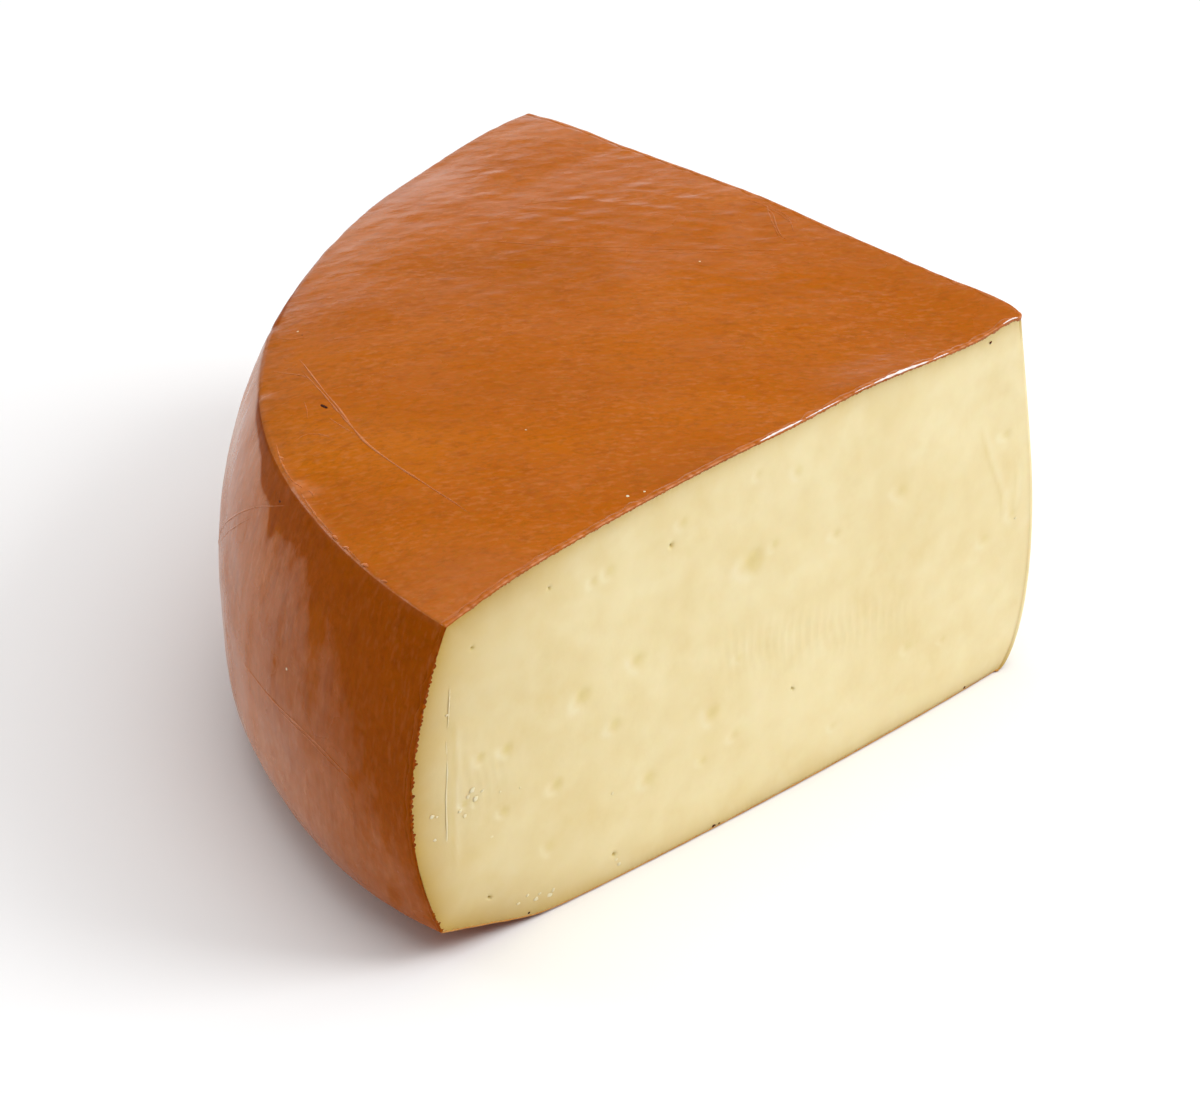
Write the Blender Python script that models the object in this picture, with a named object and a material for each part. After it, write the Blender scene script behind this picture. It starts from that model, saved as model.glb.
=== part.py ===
"""A quarter of a waxed cheese wheel, cut from the rim to the centre and lying on its flat side.

It is one solid of cream-coloured paste. The rind is a thin coat of wax on the top, the wall and the
underside, so it is a second material on the same solid, and the eyes are pits in the two cut faces.
Metres, +Z up. The origin ends at the middle of the bounding box, on the surface that it stands on.
"""

import math
import random

import bmesh
import bpy
from mathutils import Matrix, Vector, noise

# The whole wheel, as its section from the centre (radius 0) out to the wall.
CROWN_HEIGHT = 0.0795
CROWN_FLAT_RADIUS = 0.070
SHOULDER_HEIGHT = 0.0762
TOP_RIM_RADIUS = 0.145
TOP_RIM_HEIGHT = 0.0711
WALL_RADIUS = 0.154
WALL_WIDEST_HEIGHT = 0.035
BASE_RIM_RADIUS = 0.1475
BASE_RIM_HEIGHT = 0.0078
BASE_FLAT_RADIUS = 0.125
RIM_ROUNDING = 0.0016

# The top's shoulder stands above the edge of the flat base, so one ring of points serves both.
SHOULDER_SHARE = BASE_FLAT_RADIUS / BASE_RIM_RADIUS
SHOULDER_RADIUS = TOP_RIM_RADIUS * SHOULDER_SHARE

# How far the handled wheel is from a true turned shape, by angle from the near cut.
SWELL = 0.008
SWELL_ANGLE = math.radians(32)
SWELL_WIDTH = math.radians(14)
FLATTENING = 0.007
FLATTENING_START = math.radians(44)
FLATTENING_END = math.radians(58)
FAR_RIM_RISE = 0.0019
FAR_RIM_RISE_START = math.radians(76)
FAR_SHOULDER_DROP = 0.0008
FOOT_SWELL = 0.0042
FOOT_SWELL_REACH = 0.016
FOOT_SWELL_RAMP = math.radians(15)
WAX_WAVE = 0.0005
WAX_WAVE_LENGTH = 0.045

# How the soft paste has moved since the cut.
TIP_BULGE = 0.0073
TIP_BULGE_LOWNESS = 0.58
TIP_BULGE_REACH = 0.030
TIP_DIP = 0.0007
TIP_DIP_REACH = 0.009
FAR_EDGE_RISE = 0.0019
FAR_EDGE_RISE_REACH = 0.030
FACE_BULGE = 0.0016
FACE_RECESS = 0.0008
FACE_RECESS_REACH = 0.018

# The piece is a quarter: a block with steps from the centre out, from the base up and round the axis.
QUARTER = math.radians(90)
STEPS_TO_SHOULDER = 18
STEPS_TO_RIM = 3
STEPS_OUT = STEPS_TO_SHOULDER + STEPS_TO_RIM
STEPS_UP = 14
CROWDING_TO_BASE = 1.25
STEPS_ROUND = 36

# The larger eyes of the near face: distance from the axis, height above the base, half width.
NEAR_EYES = (
    (0.0714, 0.0551, 0.0040),
    (0.1131, 0.0442, 0.0048),
    (0.0992, 0.0455, 0.0030),
    (0.1053, 0.0336, 0.0038),
    (0.0818, 0.0262, 0.0034),
    (0.1310, 0.0397, 0.0032),
    (0.1371, 0.0407, 0.0022),
    (0.1195, 0.0273, 0.0032),
    (0.0975, 0.0187, 0.0028),
    (0.1322, 0.0266, 0.0024),
    (0.0754, 0.0184, 0.0024),
    (0.0837, 0.0167, 0.0018),
    (0.0327, 0.0539, 0.0020),
    (0.0492, 0.0521, 0.0016),
)
FAR_EYE_COUNT = 15
FAR_EYE_LEAST = 0.0016
FAR_EYE_MOST = 0.0046
EYE_DEPTH = 0.30
EYE_HEIGHT = 0.86
EYE_CENTRE_OUT = 0.10
EYE_SEED = 4

PASTE_COLOUR = (0.87, 0.76, 0.45)
WAX_COLOUR = (0.47, 0.14, 0.02)


def clear_scene():
    for obj in list(bpy.data.objects):
        bpy.data.objects.remove(obj, do_unlink=True)


def smooth_step(value, start, end):
    t = min(max((value - start) / (end - start), 0), 1)
    return t * t * (3 - 2 * t)


def make_material(name, colour, roughness):
    material = bpy.data.materials.new(name)
    material.use_nodes = True
    shader = material.node_tree.nodes["Principled BSDF"]
    shader.inputs["Base Color"].default_value = (*colour, 1)
    shader.inputs["Roughness"].default_value = roughness
    shader.inputs["Metallic"].default_value = 0
    material.diffuse_color = (*colour, 1)
    return material


def top_height(radius, angle):
    """A flat crown, a slow fall to the shoulder, then a straight bevel down to the rim."""
    rim = TOP_RIM_HEIGHT + FAR_RIM_RISE * smooth_step(angle, FAR_RIM_RISE_START, QUARTER)
    shoulder = SHOULDER_HEIGHT - FAR_SHOULDER_DROP * smooth_step(angle, FLATTENING_START, QUARTER)
    if radius < SHOULDER_RADIUS:
        fall = CROWN_HEIGHT - shoulder
        height = CROWN_HEIGHT - fall * smooth_step(radius, CROWN_FLAT_RADIUS, SHOULDER_RADIUS)
    else:
        slope = (shoulder - rim) / (TOP_RIM_RADIUS - SHOULDER_RADIUS)
        height = shoulder - slope * (radius - SHOULDER_RADIUS)
    dip = TIP_DIP * math.exp(-radius / TIP_DIP_REACH)
    rise = FAR_EDGE_RISE * math.exp(-radius / FAR_EDGE_RISE_REACH) * (angle / QUARTER) ** 4
    return height - dip + rise * (1 - math.exp(-radius / TIP_DIP_REACH))


def base_height(radius):
    """Flat where it stands, then a straight bevel up to the rim."""
    slope = BASE_RIM_HEIGHT / (BASE_RIM_RADIUS - BASE_FLAT_RADIUS)
    return max(0, slope * (radius - BASE_FLAT_RADIUS))


def wall_radius(height):
    """The wall bulges, with its widest part below mid height."""
    if height > WALL_WIDEST_HEIGHT:
        t = (height - WALL_WIDEST_HEIGHT) / (TOP_RIM_HEIGHT - WALL_WIDEST_HEIGHT)
        return WALL_RADIUS - (WALL_RADIUS - TOP_RIM_RADIUS) * t**2
    t = (WALL_WIDEST_HEIGHT - height) / (WALL_WIDEST_HEIGHT - BASE_RIM_HEIGHT)
    return WALL_RADIUS - (WALL_RADIUS - BASE_RIM_RADIUS) * t**1.8


def out_of_round(angle):
    swell = SWELL * math.exp(-(((angle - SWELL_ANGLE) / SWELL_WIDTH) ** 2))
    flattening = FLATTENING * smooth_step(angle, FLATTENING_START, FLATTENING_END)
    return 1 + swell - flattening


def foot_swell(angle, height):
    """The foot of the wall sags outwards between the two cuts, and not at them."""
    from_end = min(angle, QUARTER - angle, FOOT_SWELL_RAMP) / FOOT_SWELL_RAMP
    ends = math.sin(from_end * math.pi / 2)
    return FOOT_SWELL * ends * math.exp(-(((height - BASE_RIM_HEIGHT) / FOOT_SWELL_REACH) ** 2))


def tip_bulge(height):
    """How far the soft tip leans out past the axis: most at a third of the height."""
    share = min(max(height / CROWN_HEIGHT, 0), 1)
    return TIP_BULGE * math.sin(math.pi * share**TIP_BULGE_LOWNESS)


def near_face_offset(along, height):
    """The near cut face swells a little at mid length near the base and draws in at the foot of the tip."""
    low = 1 - min(height / CROWN_HEIGHT, 1)
    swell = FACE_BULGE * math.sin(math.pi * min(along / TOP_RIM_RADIUS, 1)) * low
    recess = FACE_RECESS * math.exp(-along / FACE_RECESS_REACH) * low**2
    return recess - swell


def block_point(out, up, turn):
    """The place of one point of the block: shares from the axis out, from the base up and round the axis."""
    angle = QUARTER * turn
    low = base_height(out * BASE_RIM_RADIUS)
    high = top_height(out * TOP_RIM_RADIUS, angle)
    height = low + (high - low) * up
    wall_height = BASE_RIM_HEIGHT + (TOP_RIM_HEIGHT - BASE_RIM_HEIGHT) * up
    radius = out * wall_radius(wall_height) * (1 + (out_of_round(angle) - 1) * out**2)
    radius += foot_swell(angle, wall_height) * out**4
    point = Vector((-math.cos(angle) * radius, math.sin(angle) * radius, height))
    wave = WAX_WAVE * out * up * noise.noise(point / WAX_WAVE_LENGTH)
    if up == 1:
        point.z += wave
    if out == 1:
        point.x -= math.cos(angle) * wave
        point.y += math.sin(angle) * wave
    point.x += tip_bulge(height) * math.exp(-((radius / TIP_BULGE_REACH) ** 2))
    point.y += near_face_offset(radius, height) * (1 - turn) ** 6
    return point


def share_out(step):
    """The share of the way out at a ring of points: even steps to the shoulder, shorter ones to the rim."""
    if step <= STEPS_TO_SHOULDER:
        return SHOULDER_SHARE * step / STEPS_TO_SHOULDER
    return SHOULDER_SHARE + (1 - SHOULDER_SHARE) * (step - STEPS_TO_SHOULDER) / STEPS_TO_RIM


def share_up(step):
    """The share of the way up: rows stand closer together near the base, where the tip curves most."""
    return (step / STEPS_UP) ** CROWDING_TO_BASE


def block_keys():
    """Corner lists of the block's outer faces, with True where the face is under wax."""
    out, up, turn = STEPS_OUT, STEPS_UP, STEPS_ROUND
    for k in range(turn):
        for j in range(up):
            yield ((out, j, k), (out, j, k + 1), (out, j + 1, k + 1), (out, j + 1, k)), True
        for i in range(out):
            yield ((i, up, k), (i + 1, up, k), (i + 1, up, k + 1), (i, up, k + 1)), True
            yield ((i, 0, k), (i, 0, k + 1), (i + 1, 0, k + 1), (i + 1, 0, k)), True
    for i in range(out):
        for j in range(up):
            yield ((i, j, 0), (i + 1, j, 0), (i + 1, j + 1, 0), (i, j + 1, 0)), False
            yield ((i, j, turn), (i, j + 1, turn), (i + 1, j + 1, turn), (i + 1, j, turn)), False


def build_wedge(paste, wax):
    """The quarter wheel as one closed mesh, with its two rims rounded by a bevel."""
    bm = bmesh.new()
    placed = {}

    def corner(i, j, k):
        key = (i, j, k) if i else (0, j, 0)
        if key not in placed:
            turn = key[2] / STEPS_ROUND
            placed[key] = bm.verts.new(block_point(share_out(i), share_up(j), turn))
        return placed[key]

    for keys, waxed in block_keys():
        corners = list(dict.fromkeys(corner(*key) for key in keys))
        face = bm.faces.new(corners)
        face.material_index = 1 if waxed else 0
        face.smooth = True
    bmesh.ops.recalc_face_normals(bm, faces=bm.faces)
    weight = bm.edges.layers.float.new("bevel_weight_edge")
    for k in range(STEPS_ROUND):
        for j in (0, STEPS_UP):
            rim = (placed[(STEPS_OUT, j, k)], placed[(STEPS_OUT, j, k + 1)])
            bm.edges.get(rim)[weight] = 1
    mesh = bpy.data.meshes.new("fontina_quarter")
    bm.to_mesh(mesh)
    bm.free()
    mesh.materials.append(paste)
    mesh.materials.append(wax)
    mesh.set_sharp_from_angle(angle=math.radians(40))
    wedge = bpy.data.objects.new("fontina_quarter", mesh)
    bpy.context.scene.collection.objects.link(wedge)
    rounding = wedge.modifiers.new("rim_rounding", "BEVEL")
    rounding.limit_method = "WEIGHT"
    rounding.width = RIM_ROUNDING
    rounding.segments = 2
    return wedge


def far_eyes():
    """Eyes for the far face, scattered clear of its edges and of each other."""
    draw = random.Random(EYE_SEED)
    eyes = []
    while len(eyes) < FAR_EYE_COUNT:
        along = draw.uniform(0.022, 0.134)
        height = draw.uniform(0.013, 0.062)
        half_width = FAR_EYE_LEAST + (FAR_EYE_MOST - FAR_EYE_LEAST) * draw.random() ** 2
        if all(math.hypot(along - a, height - h) > half_width + w + 0.003 for a, h, w in eyes):
            eyes.append((along, height, half_width))
    return eyes


def add_eye(bm, place, axis_out, half_width):
    """A lens-shaped cutter, flattened along the way the cut face looks."""
    flat = Matrix.Diagonal((half_width, half_width * EYE_DEPTH, half_width * EYE_HEIGHT, 1))
    turn = Vector((0, -1, 0)).rotation_difference(axis_out).to_matrix().to_4x4()
    centre = place + axis_out * half_width * EYE_CENTRE_OUT
    bmesh.ops.create_icosphere(
        bm, subdivisions=2, radius=1, matrix=Matrix.Translation(centre) @ turn @ flat
    )


def build_eye_cutter(paste):
    """All the eyes of both cut faces in one mesh."""
    bm = bmesh.new()
    for along, height, half_width in NEAR_EYES:
        place = Vector((-along, near_face_offset(along, height), height))
        add_eye(bm, place, Vector((0, -1, 0)), half_width)
    for along, height, half_width in far_eyes():
        bulge = tip_bulge(height) * math.exp(-((along / TIP_BULGE_REACH) ** 2))
        add_eye(bm, Vector((bulge, along, height)), Vector((1, 0, 0)), half_width)
    mesh = bpy.data.meshes.new("eye_cutter")
    bm.to_mesh(mesh)
    bm.free()
    mesh.materials.append(paste)
    cutter = bpy.data.objects.new("eye_cutter", mesh)
    bpy.context.scene.collection.objects.link(cutter)
    cutter.hide_render = True
    cutter.display_type = "WIRE"
    return cutter


def centre_on_origin(wedge, cutter):
    """Both meshes move together, so that the piece's box stands on the origin."""
    xs = [vertex.co.x for vertex in wedge.data.vertices]
    ys = [vertex.co.y for vertex in wedge.data.vertices]
    shift = Matrix.Translation((-(min(xs) + max(xs)) / 2, -(min(ys) + max(ys)) / 2, 0))
    for obj in (wedge, cutter):
        obj.data.transform(shift)


def main():
    clear_scene()
    paste = make_material("paste", PASTE_COLOUR, 0.5)
    wax = make_material("wax", WAX_COLOUR, 0.3)
    wedge = build_wedge(paste, wax)
    cutter = build_eye_cutter(paste)
    centre_on_origin(wedge, cutter)
    cut = wedge.modifiers.new("eyes", "BOOLEAN")
    cut.operation = "DIFFERENCE"
    cut.solver = "EXACT"
    cut.object = cutter


main()
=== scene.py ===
"""A quarter of a waxed fontina wheel on a pale floor: cream paste, orange-brown wax rind."""

from math import cos, hypot, pi, radians, sin, sqrt

import bmesh
import bpy
import numpy as np
from mathutils import Matrix, Vector
from mathutils.bvhtree import BVHTree


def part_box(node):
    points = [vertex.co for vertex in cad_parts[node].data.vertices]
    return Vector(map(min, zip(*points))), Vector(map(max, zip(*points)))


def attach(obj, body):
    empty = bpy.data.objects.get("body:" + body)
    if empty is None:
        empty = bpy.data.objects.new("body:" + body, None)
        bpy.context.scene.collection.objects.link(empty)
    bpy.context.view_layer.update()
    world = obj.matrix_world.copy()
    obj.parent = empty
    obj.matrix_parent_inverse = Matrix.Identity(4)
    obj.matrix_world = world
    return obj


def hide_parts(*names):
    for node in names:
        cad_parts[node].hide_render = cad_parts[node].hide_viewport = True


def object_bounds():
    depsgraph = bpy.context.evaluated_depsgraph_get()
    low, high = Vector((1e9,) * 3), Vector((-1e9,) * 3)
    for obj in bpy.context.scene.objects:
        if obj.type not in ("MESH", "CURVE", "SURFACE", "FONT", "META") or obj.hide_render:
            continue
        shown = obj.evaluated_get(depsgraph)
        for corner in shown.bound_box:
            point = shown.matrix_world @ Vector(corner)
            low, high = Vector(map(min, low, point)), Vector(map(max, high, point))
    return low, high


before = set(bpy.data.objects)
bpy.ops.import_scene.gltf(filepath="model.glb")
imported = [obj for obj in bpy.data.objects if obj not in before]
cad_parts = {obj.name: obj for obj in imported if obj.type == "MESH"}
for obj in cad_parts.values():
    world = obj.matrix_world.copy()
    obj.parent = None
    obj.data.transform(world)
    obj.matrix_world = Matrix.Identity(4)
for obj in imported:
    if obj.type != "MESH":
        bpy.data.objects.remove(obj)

cad_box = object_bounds()


# The paste.
# The real piece is semi-soft cow's milk cheese, pressed as a wheel and aged until it is supple. A long knife
# cut it from the rim to the centre, so both cut faces are smooth, with a few open eyes and faint knife marks,
# and the tip has sagged out a little since.

MM = 0.001
NODE = "fontina_quarter"
QUARTER = pi / 2
TOP_PROFILE = ((0, 79.5), (35, 79.6), (60, 79.5), (80, 78.9), (100, 77.8), (116, 76.5), (127, 75.2),
               (137, 73.2), (145, 71.1))
CROWN_HEIGHT = 79.5 * MM
SHOULDER_DROP = 0.8 * MM
TOP_RIM_RADIUS = 145 * MM
TOP_RIM_HEIGHT = 71.1 * MM
FAR_RIM_RISE = 2.0 * MM
WALL_RADIUS = 154 * MM
WALL_WIDEST_HEIGHT = 35 * MM
BASE_RIM_RADIUS = 147.5 * MM
BASE_RIM_HEIGHT = 7.8 * MM
NEAR_RIM_DROP = 0.9 * MM
BASE_FLAT_RADIUS = 125 * MM
BASE_SOFTNESS = 5 * MM
RIM_SOFTNESS = 0.9 * MM
TIP_ROUNDING = 1.7 * MM
TIP_BULGE = 7.3 * MM
TIP_BULGE_LOWNESS = 0.58
TIP_BULGE_REACH = 30 * MM
TIP_LEAN = 0.6 * MM
TIP_DIP = 0.2 * MM
TIP_DIP_REACH = 9 * MM
FAR_EDGE_RISE = 2.6 * MM
FAR_EDGE_REACH = 26 * MM
NEAR_EDGE_RISE = 0.9 * MM
FACE_BULGE = 1.6 * MM
FACE_RECESS = 0.8 * MM
FACE_RECESS_REACH = 18 * MM
FOOT_SWELL = 4.9 * MM
FOOT_SWELL_REACH = 13.5 * MM
OUT_OF_ROUND = 0.010
PASTE_INSET = 0.38 * MM
RIND_BAND = 4.2 * MM
ALONG, UP, ROUND = 236, 124, 36
SECTION_STEPS = (ALONG - 3, UP - 7, ALONG - 3)

low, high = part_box(NODE)
AXIS = np.array([high[0] - TIP_BULGE, low[1] + FACE_BULGE, 0.0])


def ease(value, start, end):
    t = np.clip((value - start) / (end - start), 0, 1)
    return t * t * (3 - 2 * t)


def bell(away, reach):
    """1 in the middle, fading out on both sides."""
    return np.exp(-((away / reach) ** 2))


def curve(value, table):
    """A smooth line through a table of points."""
    x, y = np.array(table).T * MM
    slope = np.gradient(y, x)
    i = np.clip(np.searchsorted(x, value) - 1, 0, len(x) - 2)
    width = x[i + 1] - x[i]
    t = (value - x[i]) / width
    left = (1 - t) ** 2 * ((1 + 2 * t) * y[i] + t * width * slope[i])
    return left + t * t * ((3 - 2 * t) * y[i + 1] + (t - 1) * width * slope[i + 1])


def ripple(points, length, seed, waves=14):
    """A soft random field, about -1 to 1, with lumps of the given length."""
    draw = np.random.default_rng(seed)
    total = np.zeros(points.shape[:-1])
    for _ in range(waves):
        way = draw.normal(size=points.shape[-1])
        way *= 2 * pi / (length * draw.uniform(0.7, 1.6) * np.linalg.norm(way))
        total += np.sin(points @ way + draw.uniform(0, 2 * pi))
    return total / sqrt(waves)


def top_height(radius, angle):
    out = np.clip((radius - 115 * MM) / (TOP_RIM_RADIUS - 115 * MM), 0, 1.1)
    rise = FAR_RIM_RISE * ease(angle, radians(74), QUARTER) * out**1.5
    drop = SHOULDER_DROP * ease(angle, radians(44), QUARTER)
    drop = drop * ease(radius, 70 * MM, 120 * MM) * (1 - out)
    dip = TIP_DIP * np.exp(-radius / TIP_DIP_REACH)
    edge = FAR_EDGE_RISE * np.exp(-radius / FAR_EDGE_REACH) * (1 - np.exp(-radius / (3 * MM)))
    edge = edge * bell(radius * np.cos(angle), 9 * MM)
    near = NEAR_EDGE_RISE * bell(radius - 41 * MM, 14 * MM) * bell(radius * np.sin(angle), 7 * MM)
    return curve(radius, TOP_PROFILE) + rise - drop - dip + edge + near


def base_rim_height(angle):
    return BASE_RIM_HEIGHT - NEAR_RIM_DROP * (1 - ease(angle, 0, radians(12)))


def base_height(radius, angle):
    slope = base_rim_height(angle) / (BASE_RIM_RADIUS - BASE_FLAT_RADIUS)
    past = radius - BASE_FLAT_RADIUS
    return np.maximum(0, slope * (past + np.sqrt(past**2 + BASE_SOFTNESS**2)) / 2 - 0.08 * MM)


def wall_radius(share):
    """From the base rim (0) to the top rim (1)."""
    widest = (WALL_WIDEST_HEIGHT - BASE_RIM_HEIGHT) / (TOP_RIM_HEIGHT - BASE_RIM_HEIGHT)
    above = np.maximum(share - widest, 0) / (1 - widest)
    below = np.maximum(widest - share, 0) / widest
    drawn_in = (WALL_RADIUS - TOP_RIM_RADIUS) * above**2 + (WALL_RADIUS - BASE_RIM_RADIUS) * below**1.8
    return WALL_RADIUS - drawn_in


def out_of_round(angle):
    swell = OUT_OF_ROUND * bell(angle - radians(32), radians(14))
    return 1 + swell - OUT_OF_ROUND * ease(angle, radians(44), radians(58))


def foot_swell(angle, height):
    ends = np.sin(np.clip(np.minimum(angle, QUARTER - angle) / radians(11), 0, 1) * pi / 2)
    return FOOT_SWELL * ends * bell(height - BASE_RIM_HEIGHT, FOOT_SWELL_REACH)


def round_corner(start, corner, end):
    t = np.linspace(0, 1, 9)[1:-1, None, None]
    return (1 - t) ** 2 * start + 2 * t * (1 - t) * corner + t**2 * end


def unit(vectors):
    return vectors / np.maximum(np.linalg.norm(vectors, axis=-1, keepdims=True), 1e-12)


def outward(line):
    """Unit vectors that point out of a section line, as radius and height."""
    along = unit(np.gradient(line, axis=0))
    return np.stack([-along[..., 1], along[..., 0]], -1)


def outline(angle, steps, inset=0.0):
    """The wheel's section at these angles: tip, top, rim, wall, base rim, base, tip, as radius and height."""
    angle = np.atleast_1d(angle).astype(float)
    top_t, wall_t, base_t = (np.linspace(0, 1, count)[:, None] for count in steps)
    ends = np.minimum(angle, QUARTER - angle)
    soft = RIM_SOFTNESS * (0.45 + 0.55 * ease(ends, 0, radians(9)))
    rim_z = top_height(TOP_RIM_RADIUS + 0 * angle, angle)
    foot_z = base_rim_height(angle)
    top_r = TIP_ROUNDING + (TOP_RIM_RADIUS - soft - TIP_ROUNDING) * top_t
    wall_z = rim_z - soft + (foot_z - rim_z + 2 * soft) * wall_t
    base_r = BASE_RIM_RADIUS - soft + (TIP_ROUNDING - BASE_RIM_RADIUS + soft) * base_t
    top = np.stack([top_r, top_height(top_r, angle)], -1)
    wall = np.stack([wall_radius((wall_z - foot_z) / (rim_z - foot_z)), wall_z], -1)
    base = np.stack([base_r, base_height(base_r, angle)], -1)
    rim = round_corner(top[-1], np.stack([TOP_RIM_RADIUS + 0 * angle, rim_z], -1), wall[0])
    foot = round_corner(wall[-1], np.stack([BASE_RIM_RADIUS + 0 * angle, foot_z], -1), base[0])
    line = np.concatenate([top, rim, wall, foot, base])
    out = np.clip(line[..., 0] / WALL_RADIUS, 0, 1)
    line[..., 0] *= 1 + (out_of_round(angle) - 1) * out**2
    line[..., 0] += foot_swell(angle, line[..., 1]) * out**6
    inward = -outward(line)
    inward[line[..., 0] <= TIP_ROUNDING * 1.001, 0] = 0
    thinner_below = 1 - 0.55 * np.clip(inward[..., 1:], 0, 1) ** 4
    return line + inward * inset * thinner_below


def place(radius, height, angle):
    """From the wheel's own measures to the frame. The tip's edge is a small arc between the two cuts."""
    inner = np.stack([-1 + np.sin(angle), 1 - np.cos(angle)], -1) * TIP_ROUNDING
    rim = np.stack([-np.cos(angle), np.sin(angle)], -1) * TOP_RIM_RADIUS
    share = ((radius - TIP_ROUNDING) / (TOP_RIM_RADIUS - TIP_ROUNDING))[..., None]
    flat = inner + (rim - inner) * share
    up_share = np.clip(height / CROWN_HEIGHT, 0, 1)
    sag = TIP_BULGE * np.sin(pi * up_share**TIP_BULGE_LOWNESS)
    sag = (sag + TIP_LEAN * ease(up_share, 0.15, 0.6)) * bell(radius, TIP_BULGE_REACH)
    swell = FACE_BULGE * np.sin(pi * np.clip(radius / TOP_RIM_RADIUS, 0, 1)) * (1 - up_share)
    recess = FACE_RECESS * np.exp(-radius / FACE_RECESS_REACH) * (1 - up_share) ** 2
    x = flat[..., 0] + sag
    y = flat[..., 1] + (recess - swell) * (1 - angle / QUARTER) ** 6
    return np.stack([x, y, height + 0 * x], -1) + AXIS


# The eyes and pinholes of the near cut: distance from the axis, height, half width and depth, in millimetres.
NEAR_EYES = (
    (71.6, 54.7, 3.1, 0.55), (65.8, 56.1, 1.3, 0.18), (113.8, 43.4, 2.3, 0.45), (100.2, 45.2, 2, 0.4),
    (106, 33.9, 1.9, 0.38), (82, 26, 2, 0.36), (75, 35.1, 1.1, 0.15), (131.5, 39.8, 1.6, 0.4),
    (137.6, 40.6, 1.4, 0.36), (120, 27, 1.7, 0.36), (97.8, 18.7, 2, 0.28), (132.3, 26.7, 1.4, 0.28),
    (141.3, 32.2, 1, 0.32), (138.9, 31.7, 0.8, 0.3), (76, 18.8, 1.5, 0.2), (84.2, 16.6, 1.3, 0.2),
    (33.3, 54.4, 1.9, 0.22), (49.9, 51.8, 1.5, 0.22), (106.6, 66.8, 1.7, 0.24), (110.6, 66.2, 1.3, 0.22),
    (89, 69.9, 1.4, 0.16), (60, 69.3, 1.4, 0.2), (70.1, 72.6, 1.2, 0.16), (122, 14.5, 1.5, 0.22),
    (31.3, 18.1, 1.4, 0.18), (22.5, 15.2, 1, 0.15), (50.2, 9.2, 1.1, 0.16), (13.6, 33.8, 1.5, 0.2),
    (7.2, 55.4, 1.5, 0.3), (6.5, 36.3, 1.5, 0.16),
)
NEAR_PINHOLES = (
    (91.7, 66.1, 0.42), (139, 64.2, 0.24), (121, 69, 0.2), (106.4, 5.5, 0.42), (136, 9.5, 0.32),
    (60.8, 22.3, 0.3),
)
# Where the blade dragged, it raised low ridges: points as distance and height, then the rise and half width.
NEAR_RIDGES = (
    (((143.4, 18), (143, 30), (142.6, 40), (142.4, 52)), 0.03, 0.8),
    (((8, 33), (8.6, 42.1), (9.8, 46.4), (11.2, 51.4), (12.3, 57.4), (12.6, 62)), 0.11, 0.8),
    (((5.6, 35), (5, 38.4), (4.3, 43.2), (4.1, 50)), -0.03, 0.9),
)
PINHOLE_PULL = 3 * MM
PINHOLE_DEPTH = 0.9 * MM
KNIFE_RIPPLE_LENGTH = 2.1 * MM
KNIFE_RIPPLE_HEIGHT = 0.09 * MM
FAR_PINHOLES = ((52, 40.5, 0.38), (97, 12, 0.42), (118, 61, 0.3), (28, 66, 0.36))
FAR_RIDGES = ((((141, 14), (140.2, 30), (140.6, 52)), 0.08, 0.75),)
FAR_EYE_COUNT = 27


def section_grid(angle, pinholes):
    """A cut face's grid: its edges follow the section, its inside is even but drawn together at pinholes."""
    line = outline(angle, SECTION_STEPS, PASTE_INSET)[:, 0]
    top, base = line[:ALONG + 1], line[ALONG + UP:][::-1]
    wall = line[ALONG:ALONG + UP + 1][::-1]
    v = np.linspace(0, 1, UP + 1)[None, :, None]
    u = np.linspace(0, 1, ALONG + 1)[:, None, None]
    tip = base[0] + (top[0] - base[0]) * v
    grid = (1 - v) * base[:, None] + v * top[:, None] + (1 - u) * tip + u * wall[None]
    corners = (1 - u) * ((1 - v) * base[0] + v * top[0]) + u * ((1 - v) * base[-1] + v * top[-1])
    grid = grid - corners
    for along, height, _ in pinholes:
        away = grid - np.array([along, height]) * MM
        distance = np.linalg.norm(away, axis=-1, keepdims=True)
        grid -= away * (1 - np.clip(distance / PINHOLE_PULL, 1e-3, 1) ** 0.6)
    return grid


def eye_shapes(grid, eyes, seed):
    """Soft pits, deeper towards the tip and the top, with a low lip, and their tint: 1 a yellower tan in the
    pit, partly painted shade, -1 a chalky painted highlight on the pit's lit edge.
    """
    draw = np.random.default_rng(seed)
    depth, tint = np.zeros(grid.shape[:2]), np.zeros(grid.shape[:2])
    for along, height, half_width, deep in eyes:
        turn, squash, start = draw.uniform(-0.6, 0.6), draw.uniform(0.7, 0.95), draw.uniform(0, 6)
        dx, dz = (grid[..., 0] / MM - along) / half_width, (grid[..., 1] / MM - height) / half_width
        a = dx * cos(turn) + dz * sin(turn)
        b = (dz * cos(turn) - dx * sin(turn)) / squash
        away = np.sqrt(a * a + b * b) * (1 + 0.10 * np.sin(3 * np.arctan2(b, a) + start))
        lean = np.clip(1 + 0.35 * (dz - dx), 0.3, 1.7)
        lip = 0.12 * bell(away - 1.2, 0.3)
        depth += 0.45 * deep * MM * (np.clip(1 - away**2, 0, 1) ** 1.2 * lean - lip)
        strength = min(1, 0.35 + deep / 0.5)
        # Painted shade: the tan in the pit stands partly for its shade.
        tint += 0.40 * strength * np.exp(-((dx + 0.10) ** 2 + (dz - 0.05) ** 2) / 0.55)
        # Painted highlight: a chalky crescent on the pit's lit edge.
        towards_rim = (0.88 * dx - 0.47 * dz) / np.maximum(away, 0.1)
        tint -= 0.55 * strength * bell(away - 1.30, 0.45) * ease(towards_rim, 0.1, 0.9)
    return depth, tint


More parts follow.
